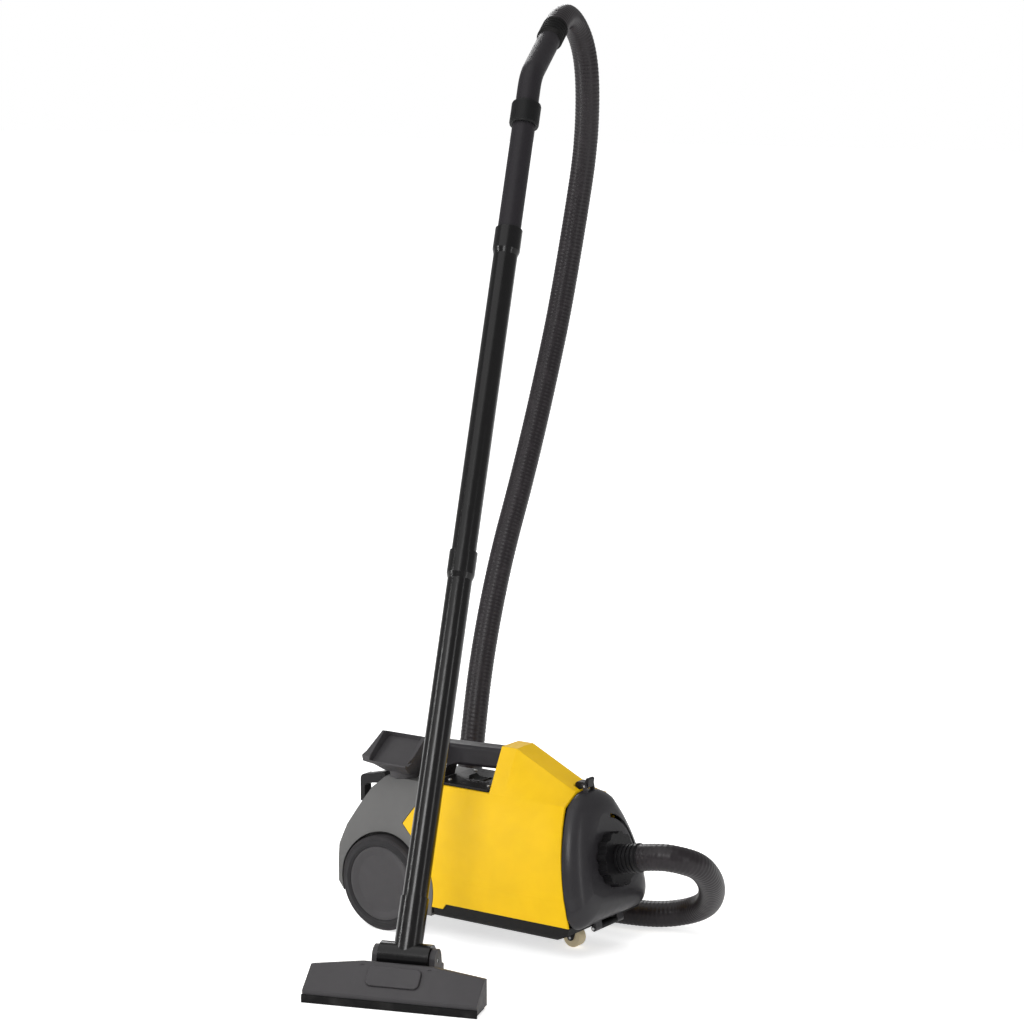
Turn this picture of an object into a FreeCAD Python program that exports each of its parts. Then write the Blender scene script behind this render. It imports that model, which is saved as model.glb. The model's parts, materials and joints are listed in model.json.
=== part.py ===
import FreeCAD, Part
import math
import os
import re
import Sketcher
from FreeCAD import Placement, Rotation, Vector

# A commercial canister vacuum cleaner: +X is the canister's front, +Y its left side, +Z up.
# Everything is laid out from the canister datum, the floor point below its centreline, and
# moved at the end by datum_x and datum_y so that the whole object is centred on the origin.

os.makedirs("parts", exist_ok=True)
doc = FreeCAD.newDocument("canister_vacuum")

# ---------------------------------------------------------------- driving dimensions (mm)

DIMENSIONS = {
    "datum_x": 0.14,
    "datum_y": 5.57,
    # body cross-section
    "body_half_width": 95,
    "flank_height": 95,
    "shoulder_half_width": 82,
    "shoulder_height": 163,
    "deck_half_width": 54,
    "deck_height": 222,
    "shell_wall": 2.5,
    "belt_height": 58,
    "skirt_height": 50,
    "base_bottom": 36,
    "rear_end": -238,
    # hump and handle
    "hump_rear": 8,
    "hump_crest": 34,
    "hump_crest_height": 286,
    "hump_front_height": 230,
    "hump_top_half_width": 21,
    "grip_bar_bottom": 250,
    "grip_bar_top": 281,
    "grip_bar_half_width": 16,
    # front cover
    "lean": 12,
    "joint_x": 176,
    "joint_height": 52,
    "cover_depth": 28,
    "hinge_x": 179,
    "hinge_height": 45,
    "pin_radius": 2,
    "inlet_rise": 84,
    "inlet_bore_radius": 16,
    "switch_x": -46,
    # wheels
    "axle_x": -156,
    "wheel_radius": 71,
    "wheel_width": 26,
    "wheel_face": 102,
    "axle_radius": 4,
    "caster_x": 130,
    "caster_radius": 15,
    # motor and fan
    "motor_height": 128,
    "motor_radius": 42,
    "fan_radius": 53,
    # wand set
    "pivot_x": 50.7,
    "pivot_y": -310,
    "pivot_height": 50,
    "tool_yaw": 18.6,
    "wand_lean": 27.2,
    "wand_radius": 18,
    "socket_radius": 20.5,
    "wand_bore_radius": 16,
    "wand_visible": 504,
    "wand_insert": 38,
    "neck_top": 84,
    "handle_bend": 253,
    "handle_angle": 35,
    "grip_length": 114,
    "grip_cuff_length": 44,
    # floor tool
    "tool_half_length": 125,
    "tool_front": -78,
    "tool_bar_back": -31,
    "barrel_radius": 21,
    # hose
    "hose_radius": 19.5,
    "hose_bore_radius": 17.5,
}

sheet = doc.addObject("Spreadsheet::Sheet", "Sheet")
for row, (alias, number) in enumerate(DIMENSIONS.items(), start=1):
    sheet.set(f"A{row}", alias)
    sheet.set(f"B{row}", str(number))
    sheet.setAlias(f"B{row}", alias)
doc.recompute()

ALIAS = re.compile(r"[a-z][a-z_]*")


def expression(text):
    """The text with each alias written the way FreeCAD's expressions need it."""
    return ALIAS.sub(lambda word: f"Sheet.{word[0]}" if word[0] in DIMENSIONS else word[0], str(text))


def value(text):
    """What an expression over the sheet comes to, as a number."""
    if not isinstance(text, str):
        return float(text)
    result = sheet.evalExpression(expression(text))
    return float(getattr(result, "Value", result))


def bind(item, attribute, text):
    """Sets a property, bound to the sheet when it is given as an expression."""
    if isinstance(text, str):
        item.setExpression(attribute, expression(text))
    else:
        setattr(item, attribute, text)


# ---------------------------------------------------------------- building blocks

PIECES = []


def piece(label, item):
    item.Label = label
    PIECES.append(item)
    return item


def frame(x=0, y=0, z=0, axis=(0, 0, 1), angle=0):
    origin = Vector(value(x), value(y), value(z))
    return Placement(origin, Rotation(Vector(*axis), value(angle)))


def draw(sketch, outline):
    """Closes an outline in a sketch. ("via", x, y) makes the next edge an arc through that point."""
    corners = []
    arcs = {}
    for entry in outline:
        if entry[0] == "via":
            arcs[len(corners) - 1] = Vector(value(entry[1]), value(entry[2]), 0)
        else:
            corners.append(entry)
    points = [Vector(value(x), value(y), 0) for x, y in corners]
    count = len(points)
    ends = []
    for index, start in enumerate(points):
        stop = points[(index + 1) % count]
        if index in arcs:
            arc = Part.Arc(start, arcs[index], stop)
            number = sketch.addGeometry(arc, False)
            forward = sketch.getPoint(number, 1).distanceToPoint(start) < 1e-6
            ends.append((number, 1, 2) if forward else (number, 2, 1))
            sketch.addConstraint(Sketcher.Constraint("Radius", number, sketch.Geometry[number].Radius))
        else:
            number = sketch.addGeometry(Part.LineSegment(start, stop), False)
            ends.append((number, 1, 2))
    for index in range(count):
        this, after = ends[index], ends[(index + 1) % count]
        sketch.addConstraint(Sketcher.Constraint("Coincident", this[0], this[2], after[0], after[1]))
    for (number, start, _), (x, y), point in zip(ends, corners, points):
        for kind, text, size in (("DistanceX", x, point.x), ("DistanceY", y, point.y)):
            rule = sketch.addConstraint(Sketcher.Constraint(kind, -1, 1, number, start, size))
            if isinstance(text, str):
                sketch.setExpression(f"Constraints[{rule}]", expression(text))


def body_sketch(body, plane, outline):
    sketch = body.newObject("Sketcher::SketchObject", "Profile")
    base = next(item for item in body.Origin.OriginFeatures if item.Role == plane)
    sketch.AttachmentSupport = [(base, "")]
    sketch.MapMode = "FlatFace"
    draw(sketch, outline)
    return sketch


def prism(plane, outline, length, symmetric=True):
    """A padded outline: on XZ_Plane it grows along Y, on YZ_Plane along X, on XY_Plane along Z."""
    body = doc.addObject("PartDesign::Body", "Prism")
    sketch = body_sketch(body, plane, outline)
    pad = body.newObject("PartDesign::Pad", "Pad")
    pad.Profile = sketch
    pad.Midplane = symmetric
    bind(pad, "Length", length)
    body.recompute(True)
    return body


def turned(outline, where=None):
    """A solid of revolution about its own Z axis, from an outline of (radius, height)."""
    body = doc.addObject("PartDesign::Body", "Turned")
    sketch = body_sketch(body, "XZ_Plane", outline)
    turn = body.newObject("PartDesign::Revolution", "Revolution")
    turn.Profile = sketch
    turn.ReferenceAxis = (sketch, ["V_Axis"])
    turn.Angle = 360
    if where:
        body.Placement = where
    body.recompute(True)
    return body


def box(x0, x1, y0, y1, z0, z1):
    item = doc.addObject("Part::Box", "Box")
    bind(item, "Length", f"({x1}) - ({x0})")
    bind(item, "Width", f"({y1}) - ({y0})")
    bind(item, "Height", f"({z1}) - ({z0})")
    item.Placement = frame(x0, y0, z0)
    item.recompute(True)
    return item


def rod(radius, start, stop):
    """A cylinder between two points."""
    start = Vector(*[value(part) for part in start])
    stop = Vector(*[value(part) for part in stop])
    item = doc.addObject("Part::Cylinder", "Rod")
    bind(item, "Radius", radius)
    item.Height = (stop - start).Length
    item.Placement = Placement(start, Rotation(Vector(0, 0, 1), stop - start))
    item.recompute(True)
    return item


def cut(base, *tools):
    for tool in tools:
        item = doc.addObject("Part::Cut", "Cut")
        item.Base = base
        item.Tool = tool
        base = item
        item.recompute(True)
    return base


def fuse(*shapes):
    item = doc.addObject("Part::MultiFuse", "Fuse")
    item.Shapes = list(shapes)
    item.Refine = True
    item.recompute(True)
    return item


def common(base, tool):
    item = doc.addObject("Part::Common", "Common")
    item.Base = base
    item.Tool = tool
    item.recompute(True)
    return item


def group(*shapes):
    """Several separate solids kept as one node."""
    item = doc.addObject("Part::Compound", "Group")
    item.Links = list(shapes)
    item.recompute(True)
    return item


def rounded(base, radius, chosen):
    """Fillets every edge for which chosen(edge) holds."""
    item = doc.addObject("Part::Fillet", "Fillet")
    item.Base = base
    size = value(radius)
    item.Edges = [(n, size, size) for n, edge in enumerate(base.Shape.Edges, 1) if chosen(edge)]
    item.recompute(True)
    return item


def along(axis):
    """Chooses the straight edges that run along an axis."""
    direction = Vector(*axis)

    def test(edge):
        if not isinstance(edge.Curve, Part.Line):
            return False
        return abs(edge.Curve.Direction.dot(direction)) > 0.999

    return test


def moved(item, where):
    item.Placement = where.multiply(item.Placement)
    item.recompute(True)
    return item


def loft(sections, ruled=True):
    """A solid through sketches: each section is (placement, outline)."""
    sketches = []
    for where, outline in sections:
        sketch = doc.addObject("Sketcher::SketchObject", "Section")
        sketch.Placement = where
        draw(sketch, outline)
        sketches.append(sketch)
    item = doc.addObject("Part::Loft", "Loft")
    item.Sections = sketches
    item.Solid = True
    item.Ruled = ruled
    item.recompute(True)
    return item


def upright(x):
    """A section plane across the canister at x: sketch x along Y, sketch y along Z."""
    turn = Rotation(Vector(0, 1, 0), Vector(0, 0, 1), Vector(1, 0, 0), "ZXY")
    return Placement(Vector(value(x), 0, 0), turn)


# The front cover, its gasket and all that rides on it are drawn in the leaning joint plane:
# local X points out of the joint, local Z climbs along it from the hinge.
COVER = frame("joint_x", 0, "joint_height", (0, 1, 0), "-lean")
# The wand set is drawn standing on its own pivot, then leaned and yawed with the floor tool.
TOOL = frame("pivot_x", "pivot_y", 0, (0, 0, 1), "tool_yaw")
WAND = TOOL.multiply(frame(0, 0, "pivot_height", (1, 0, 0), "-wand_lean"))


def hinge_in_cover():
    """The cover's hinge line, as (out, up) in the cover's own frame."""
    local = COVER.inverse().multVec(Vector(value("hinge_x"), 0, value("hinge_height")))
    return local.x, local.z


HINGE = hinge_in_cover()

# ---------------------------------------------------------------- canister shells

def body_section(inset, floor="skirt_height"):
    """The canister's cross-section: upright flanks, leaning shoulders and a flat deck."""
    wide = f"body_half_width - {inset}"
    deck = f"deck_half_width - {inset}"
    top = f"deck_height - {inset}"
    return [
        (wide, floor),
        (wide, "flank_height"),
        ("via", f"shoulder_half_width - {inset}", "shoulder_height"),
        (deck, top),
        (f"-({deck})", top),
        ("via", f"-(shoulder_half_width - {inset})", "shoulder_height"),
        (f"-({wide})", "flank_height"),
        (f"-({wide})", floor),
    ]


def hump_section(inset, top):
    """The roof over the bag chamber, from the deck's edges up to its crest."""
    return [
        (f"deck_half_width - {inset}", f"deck_height - 8 - {inset}"),
        (f"deck_half_width - {inset}", f"deck_height - {inset}"),
        (f"hump_top_half_width - {inset}", f"{top} - {inset}"),
        (f"-(hump_top_half_width - {inset})", f"{top} - {inset}"),
        (f"-(deck_half_width - {inset})", f"deck_height - {inset}"),
        (f"-(deck_half_width - {inset})", f"deck_height - 8 - {inset}"),
    ]


def canister_form(inset, floor="skirt_height"):
    """The body's bulk with its hump, before its ends are trimmed."""
    hull = prism("YZ_Plane", body_section(inset, floor), 460)
    hull.Placement = frame(-20)
    rear = f"hump_rear + {inset}"
    hump = loft([
        (upright(rear), hump_section(inset, "hump_crest_height")),
        (upright("hump_crest"), hump_section(inset, "hump_crest_height")),
        (upright("joint_x - 26"), hump_section(inset, "hump_front_height")),
    ])
    return fuse(hull, hump)


FENDER_TOP = (-109.2, 147.8)
FENDER_VIA = (-71.2, 107.8)
FENDER_FOOT = (-65.6, 50)
GLAND_Y = 63
GLAND_Z = 84
NOZZLE_X = -157.6
NOZZLE_Y = -36
PEG_TOP = 246


def make_body_shell():
    """The coloured shell: chevron-shaped rear edge, curved round the wheel, leaning front."""
    outline = [
        (FENDER_FOOT[0], "skirt_height"),
        (-46, "skirt_height"),
        (-40, "belt_height"),
        ("joint_x - (belt_height - joint_height) * tan(lean * 1 deg)", "belt_height"),
        ("joint_x - (310 - joint_height) * tan(lean * 1 deg)", 310),
        (-92, 310),
        (-92, "deck_height"),
        (-128, 163),
        FENDER_TOP,
        ("via", *FENDER_VIA),
    ]
    side = prism("XZ_Plane", outline, 240)
    shell = common(canister_form(0), side)
    shell = cut(shell, canister_form("shell_wall", "skirt_height - 30"))
    handle_hole = box("hump_rear - 3", "hump_rear + 8", "-grip_bar_half_width", "grip_bar_half_width",
                      "grip_bar_bottom - 2.2", "grip_bar_top + 0.3")
    latch_gap = moved(box(-11, -1.5, -8.3, 8.3, 180, 210), COVER)
    deck_mouth = box(-84, 0, -40, 40, "deck_height - 10", "deck_height + 2")
    return piece("body_shell", cut(shell, handle_hole, latch_gap, deck_mouth))


def make_rear_housing():
    """The dark motor housing behind the chevron, with a recess for each wheel."""
    outline = [
        (-205, "base_bottom"),
        (FENDER_FOOT[0] - 1, "base_bottom"),
        (FENDER_FOOT[0] - 1, "skirt_height"),
        ("via", FENDER_VIA[0] - 1, FENDER_VIA[1]),
        (FENDER_TOP[0] - 1, FENDER_TOP[1]),
        (-129.2, 163),
        (-93, "deck_height"),
        (-93, 240),
        (-160, 240),
        (-198, 204),
        (-228, 148),
        ("rear_end", 118),
        ("rear_end", 62),
        (-226, 46),
    ]
    side = prism("XZ_Plane", outline, 240)
    housing = common(canister_form(0, "base_bottom"), side)
    inner = [
        (-200, "base_bottom + 3"),
        (-60, "base_bottom + 3"),
        (-60, 216),
        (-160, 216),
        (-192, 200),
        (-224, 146),
        ("rear_end + shell_wall", 116),
        ("rear_end + shell_wall", 64),
        (-222, 50),
    ]
    hollow = common(canister_form("shell_wall", 20), prism("XZ_Plane", inner, 240))
    housing = cut(housing, hollow)
    wells = []
    for side_sign in (-1, 1):
        rim_y = f"{side_sign} * 120"
        wells.append(rod("wheel_radius + 4.5", ("axle_x", f"{side_sign} * 73", "wheel_radius"),
                         ("axle_x", rim_y, "wheel_radius")))
    liners = []
    for side_sign in (-1, 1):
        cup = rod("wheel_radius + 7", ("axle_x", f"{side_sign} * 70.5", "wheel_radius"),
                  ("axle_x", f"{side_sign} * 94", "wheel_radius"))
        liners.append(common(cup, common(canister_form(0, "base_bottom"), prism("XZ_Plane", outline, 240))))
    housing = fuse(housing, *liners)
    axle_hole = rod("axle_radius + 0.3", ("axle_x", -110, "wheel_radius"), ("axle_x", 110, "wheel_radius"))
    door_mouth = box("rear_end - 4", "rear_end + 6", -46, 46, 66, 114)
    gland_hole = rod(9, ("rear_end - 4", GLAND_Y, GLAND_Z), ("rear_end + 12", GLAND_Y, GLAND_Z))
    peg = cut(rod(15, (NOZZLE_X, NOZZLE_Y, "deck_height - 1"), (NOZZLE_X, NOZZLE_Y, PEG_TOP)),
              rod(12.5, (NOZZLE_X, NOZZLE_Y, "deck_height + 1"), (NOZZLE_X, NOZZLE_Y, PEG_TOP + 1)))
    housing = cut(housing, *wells, axle_hole, door_mouth, gland_hole)
    return piece("rear_housing", fuse(housing, peg))


def make_base_pan():
    """The dark tray under the shell, with the caster's socket and the cover's middle knuckle."""
    outline = [
        (-64, "base_bottom"),
        (150, "base_bottom"),
        ("joint_x - 4", "joint_height - 6"),
        ("joint_x - 1.5", "belt_height - 0.5"),
        (-39.7, "belt_height - 0.5"),
        (-45.7, "skirt_height - 0.5"),
        (-64, "skirt_height - 0.5"),
    ]
    tray = prism("XZ_Plane", outline, "2 * (body_half_width - 2)")
    tray = rounded(tray, 8, lambda edge: along((1, 0, 0))(edge) and edge.CenterOfMass.z < value("base_bottom") + 1)
    hollow = box(-61, "joint_x - 10", "-body_half_width + 6", "body_half_width - 6",
                 "base_bottom + 3", "belt_height + 5")
    tray = cut(tray, hollow)
    boss = rod(12, ("caster_x", 0, "base_bottom + 2"), ("caster_x", 0, "base_bottom + 18"))
    knuckle = rod(4.5, ("hinge_x", -19, "hinge_height"), ("hinge_x", 19, "hinge_height"))
    lug = box("joint_x - 12", "hinge_x", -19, 19, "hinge_height - 4.5", "hinge_height + 3")
    pin_hole = rod("pin_radius", ("hinge_x", -30, "hinge_height"), ("hinge_x", 30, "hinge_height"))
    stem_hole = rod(4.77, ("caster_x", 0, "base_bottom - 1"), ("caster_x", 0, "base_bottom + 14"))
    return piece("base_pan", cut(fuse(tray, boss, knuckle, lug), pin_hole, stem_hole))


def make_deck():
    plate = prism("XY_Plane", [(-92, -50), (7, -50), (7, 50), (-92, 50)], 4, False)
    plate = rounded(plate, 6, along((0, 0, 1)))
    plate.Placement = frame(0, 0, "deck_height")
    skirt = box(-83, -2, -39, 39, "deck_height - 8", "deck_height")
    well = box("switch_x - 16", "switch_x + 16", -10, 10, "deck_height - 9", "deck_height + 5")
    screw_posts = [(-78, -32), (-78, 32), (-8, -32), (-8, 32)]
    holes = [rod(1.6, (x, y, "deck_height - 10"), (x, y, "deck_height + 5")) for x, y in screw_posts]
    rocker_bearing = rod(1.57, ("switch_x", -11.2, "deck_height - 1"), ("switch_x", 11.2, "deck_height - 1"))
    piece("deck_cover", cut(fuse(plate, skirt), well, rocker_bearing, *holes))
    screws = []
    for x, y in screw_posts:
        shank = rod(1.6, (x, y, "deck_height - 10"), (x, y, "deck_height + 4"))
        screw_head = rod(3.2, (x, y, "deck_height + 4"), (x, y, "deck_height + 6"))
        screws.append(fuse(shank, screw_head))
    piece("deck_screws", group(*screws))


def make_switch():
    rocker = prism("XZ_Plane", [(-13.5, -5), (13.5, -5), (14, 3), ("via", 0, 0.5), (-14, 6.5)], 18)
    rocker = rounded(rocker, 0.8, along((0, 1, 0)))
    rocker.Placement = frame("switch_x", 0, "deck_height + 3")
    trunnion = rod(1.5, ("switch_x", -11, "deck_height - 1"), ("switch_x", 11, "deck_height - 1"))
    piece("power_switch", fuse(rocker, trunnion))
    case = box("switch_x - 18", "switch_x + 18", -12, 12, "deck_height - 31", "deck_height - 8")
    terminals = [box(f"switch_x + {x}", f"switch_x + {x} + 1", -3, 3, "deck_height - 34", "deck_height - 31")
                 for x in (-12, -1, 10)]
    piece("switch_module", fuse(case, *terminals))


def make_handle():
    outline = [
        (36, "grip_bar_bottom"),
        (36, "grip_bar_top"),
        (-112, "grip_bar_top - 6"),
        (-128, "grip_bar_top - 14"),
        (-135, "grip_bar_top - 28"),
        (-140, "deck_height"),
        (-104, "deck_height"),
        (-102, "grip_bar_bottom - 20"),
        (-98, "grip_bar_bottom - 10"),
        (-88, "grip_bar_bottom - 6"),
    ]
    bar = prism("XZ_Plane", outline, "2 * grip_bar_half_width - 0.6")
    bar = rounded(bar, 6, lambda edge: edge.BoundBox.YLength < 1 and edge.BoundBox.XLength > 115)
    return piece("carry_handle", bar)


def make_wheel_set():
    bore_radius = "axle_radius + 0.07"
    wheel = [(bore_radius, 0), (14, 0), (16, 9), (56, 9), (56, 3), (66, 3), (66, 24), (60, 26), (56, 24), (54, 13),
             (12, 13), (12, 15), (bore_radius, 15)]
    tyre = [(66, 2), (69, 2), (71, 4.5), (71, 21.5), (69, 24), (66, 24)]
    cap = [(0, 18), (44, 18), (55.5, 20.5), (55.5, 23.5), (52, 23.5), (43, 21), (0, 21)]
    axle = rod("axle_radius", ("axle_x", -93.4, "wheel_radius"), ("axle_x", 93.4, "wheel_radius"))
    piece("wheel_axle", axle)
    nuts = []
    for name, turn, sign in (("right", 90, -1), ("left", -90, 1)):
        hub = frame("axle_x", f"{sign} * (wheel_face - wheel_width)", "wheel_radius", (1, 0, 0), turn)
        piece(f"{name}_wheel", turned(wheel, hub))
        piece(f"{name}_tyre", turned(tyre, hub))
        piece(f"{name}_hub_cap", turned(cap, hub))
        nuts.append(turned([("axle_radius", 15.3), (8.5, 15.3), (8.5, 16.5), ("axle_radius", 17)], hub))
    piece("axle_push_nuts", group(*nuts))


CASTER_TRAIL = 8


def make_caster():
    wheel_x = f"caster_x - {CASTER_TRAIL}"
    stem = rod(4.7, ("caster_x", 0, "base_bottom - 4"), ("caster_x", 0, "base_bottom + 13"))
    crown = rod(12, ("caster_x", 0, "base_bottom - 4"), ("caster_x", 0, "base_bottom - 1"))
    bridge = box(f"{wheel_x} - 7", "caster_x + 6", -12, 12, "base_bottom - 4", "base_bottom - 1")
    cheek = [(-5, 0), ("via", 0, -4.4), (5, 0), (12, "base_bottom - 2 - caster_radius"),
             (-7, "base_bottom - 2 - caster_radius")]
    cheeks = []
    for y in (-10.7, 10.7):
        side = prism("XZ_Plane", cheek, 2.4)
        side.Placement = frame(wheel_x, y, "caster_radius")
        cheeks.append(side)
    pin_hole = rod(1.9, (wheel_x, -15, "caster_radius"), (wheel_x, 15, "caster_radius"))
    piece("caster_yoke", cut(fuse(stem, crown, bridge, *cheeks), pin_hole))
    piece("caster_axle", rod(1.9, (wheel_x, -12.6, "caster_radius"), (wheel_x, 12.6, "caster_radius")))
    roller = [(1.96, -9), (12.5, -9), ("via", 14.3, -8), (15, -6), (15, 6), ("via", 14.3, 8), (12.5, 9), (1.96, 9)]
    piece("caster_wheel", turned(roller, frame(wheel_x, 0, "caster_radius", (1, 0, 0), 90)))


def cover_section(inset):
    """The front cover's outline in the joint plane: broad at its foot, arched at its top."""
    return [
        (f"-(72 - {inset})", inset),
        (f"72 - {inset}", inset),
        ("via", f"90 - {inset}", f"9 + {inset}"),
        (f"body_half_width - {inset}", f"30 + 0.5 * {inset}"),
        (f"body_half_width - {inset}", f"48 + 0.1 * {inset}"),
        ("via", f"81 - {inset}", f"114 - 0.3 * {inset}"),
        (f"51 - 0.95 * {inset}", f"170 - 0.8 * {inset}"),
        ("via", 0, f"188 - {inset}"),
        (f"-(51 - 0.95 * {inset})", f"170 - 0.8 * {inset}"),
        ("via", f"-(81 - {inset})", f"114 - 0.3 * {inset}"),
        (f"-(body_half_width - {inset})", f"48 + 0.1 * {inset}"),
        (f"-(body_half_width - {inset})", f"30 + 0.5 * {inset}"),
        ("via", f"-(90 - {inset})", f"9 + {inset}"),
    ]


def dome(shrink):
    steps = [(0, 0), (14, 3), (26, 10), (34, 20), (38, 36)]
    return loft([(upright(f"2 + {out} * (cover_depth - {shrink}) / 40"), cover_section(inset + shrink))
                 for out, inset in steps], ruled=False)


def bore(radius, start, stop):
    """A rod along the inlet's axis, in the cover's frame."""
    return rod(radius, (start, 0, "inlet_rise"), (stop, 0, "inlet_rise"))


LATCH = (9, 194)


def make_front_cover():
    ears = [box(5.5, 12.5, low, high, 178, 197.5) for low, high in ((-10.5, -8), (8, 10.5))]
    shell = cut(fuse(dome(0), *ears), dome(2.5))
    tube = bore(21, 14, "cover_depth + 11")
    groove = cut(bore(66, "cover_depth - 4", "cover_depth + 5"), bore(60, "cover_depth - 6", "cover_depth + 6"))
    sector = prism("YZ_Plane", [(0, 0), (100, 8), (100, 100), (22, 100)], 20)
    sector.Placement = frame("cover_depth", 0, "inlet_rise")
    knuckles = []
    reach = []
    for sign in (-1, 1):
        knuckles.append(rod(4.5, (HINGE[0], sign * 20, HINGE[1]), (HINGE[0], sign * 36, HINGE[1])))
        low, high = sorted((sign * 20, sign * 36))
        reach.append(box(2.1, HINGE[0] + 4.5, low, high, HINGE[1], 2.5))
    cover = fuse(shell, tube, *knuckles, *reach)
    pin_hole = rod("pin_radius + 0.07", (HINGE[0], -40, HINGE[1]), (HINGE[0], 40, HINGE[1]))
    throat = bore(17.4, 10, 80)
    latch_hole = rod(1.5, (LATCH[0], -20, LATCH[1]), (LATCH[0], 20, LATCH[1]))
    cover = cut(cover, pin_hole, throat, latch_hole, common(groove, sector))
    piece("front_cover", moved(cover, COVER))
    pin = rod("pin_radius", ("hinge_x", -38, "hinge_height"), ("hinge_x", 38, "hinge_height"))
    piece("cover_hinge_pin", pin)
    gasket = cut(prism("YZ_Plane", cover_section(1), 1.7, False), prism("YZ_Plane", cover_section(6), 8))
    gasket.Placement = frame(0.3, 0, 0)
    piece("cover_gasket", moved(gasket, COVER))


def make_inlet():
    ring = cut(bore(40, "cover_depth + 1.5", "cover_depth + 16"), bore(21.07, "cover_depth", "cover_depth + 11.5"),
               bore(18.5, "cover_depth + 11", "cover_depth + 21"))
    scallops = []
    for turn in range(12):
        angle = math.radians(30 * turn)
        y, rise = 45 * math.cos(angle), f"inlet_rise + {45 * math.sin(angle)}"
        scallops.append(rod(8.5, ("cover_depth", y, rise), ("cover_depth + 22", y, rise)))
    piece("inlet_collar", moved(cut(ring, *scallops), COVER))
    seal = cut(bore(25, 9, 14), bore(15, 8, 15))
    piece("inlet_seal", moved(seal, COVER))
    start = value("cover_depth")
    outline = [(14.5, start - 12), (17.2, start - 12), (17.2, start + 11.3), (18.4, start + 11.3),
               (18.4, start + 17)]
    for rib in range(5):
        base = start + 17 + rib * 7
        outline += [(21, base), (21, base + 4.5), (19, base + 5.2), (19, base + 6.9)]
    outline += [(19, start + 53), (14.5, start + 53)]
    cuff = turned(outline, frame(0, 0, "inlet_rise", (0, 1, 0), 90))
    piece("hose_cuff", moved(cuff, COVER))


def make_latch():
    outline = [(-7, 187.5), (-3.5, 187.5), (-3, 196.5), (4, 197), (5.5, 190.5), (12.5, 190.5), (17, 203),
               (13, 205), (9, 199), (-4, 201.5), (-8, 199)]
    lever = rounded(prism("XZ_Plane", outline, 15), 0.8, along((0, 1, 0)))
    pin_hole = rod(1.57, (LATCH[0], -20, LATCH[1]), (LATCH[0], 20, LATCH[1]))
    piece("cover_latch", moved(cut(lever, pin_hole), COVER))
    pin = rod(1.5, (LATCH[0], -11, LATCH[1]), (LATCH[0], 11, LATCH[1]))
    piece("latch_pin", moved(pin, COVER))


def make_dust_bag():
    outline = [(22, 62), (164, 62), (138, 190), (22, 190)]
    piece("dust_bag", rounded(prism("XZ_Plane", outline, 132), 18, lambda edge: True))
    collar = prism("YZ_Plane", [(-45, 40), (45, 40), (45, 125), (-45, 125)], 2, False)
    collar.Placement = frame(-3, 0, 0)
    piece("bag_collar", moved(cut(collar, bore(15, -8, 5)), COVER))
    plate = prism("YZ_Plane", [(-54, 10), (54, 10), (54, 128), (-54, 128)], 3, False)
    crossbar = prism("YZ_Plane", [(-94, 56), (94, 56), (94, 70), (-94, 70)], 3, False)
    plate.Placement = frame(-6, 0, 0)
    crossbar.Placement = frame(-6, 0, 0)
    window = box(-8, 0, -40, 40, 45, 140)
    bracket = moved(cut(fuse(plate, crossbar), window), COVER)
    piece("bag_bracket", common(bracket, canister_form("shell_wall", "skirt_height - 30")))


def make_filters():
    wall = prism("YZ_Plane", body_section("shell_wall", "belt_height"), 3, False)
    wall.Placement = frame(-8)
    slots = [box(-10, 0, -48, 48, 88 + 12 * step, 94 + 12 * step) for step in range(8)]
    deck_gap = box(-10, 0, -41, 41, "deck_height - 11", "deck_height")
    piece("filter_grille", cut(wall, deck_gap, *slots))
    piece("motor_filter", box(-5, 5, -52, 52, 82, 186))


def make_motor():
    def about(outline):
        return turned(outline, frame(0, 0, "motor_height", (0, 1, 0), 90))

    fan = "fan_radius"
    case = [(26, -56), (fan, -56), (fan, -20), (f"{fan} - 2", -18), (26, -18), (26, -20.5), (f"{fan} - 2.5", -20.5),
            (f"{fan} - 2.5", -53.5), (26, -53.5)]
    piece("fan_case", about(case))
    body = [(6.5, -148), (30, -148), ("motor_radius", -138), ("motor_radius", -56), (6.5, -56), (6.5, -59),
            ("motor_radius - 3", -59), ("motor_radius - 3", -136), (28, -145), (6.5, -145)]
    brushes = [box(-130, -118, side * 43.5 - 5, side * 43.5 + 5, "motor_height - 5", "motor_height + 5")
               for side in (-1, 1)]
    piece("motor_body", cut(about(body), *brushes))
    piece("carbon_brush_holders", group(*brushes))
    piece("armature", about([(5, -132), (27, -132), (27, -76), (5, -76)]))
    piece("motor_shaft", rod(5, (-156, 0, "motor_height"), (-24, 0, "motor_height")))
    disc = "fan_radius - 6"
    plates = about([(5, -49), (disc, -49), (disc, -47), (14, -47), (14, -31), (disc, -31), (disc, -29), (5, -29)])
    vanes = []
    for turn in range(8):
        vane = box(-48, -30, 12, "fan_radius - 7", -0.8, 0.8)
        vane.Placement = frame(0, 0, "motor_height", (1, 0, 0), 45 * turn).multiply(vane.Placement)
        vanes.append(vane)
    piece("impeller", fuse(plates, *vanes))
    piece("front_motor_mount", about([(fan, -50), (f"{fan} + 5", -50), (f"{fan} + 5", -26), (fan, -26)]))
    piece("rear_motor_mount", about([(10, -164), (24, -164), (30, -149), (30, -148), (10, -148)]))


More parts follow.
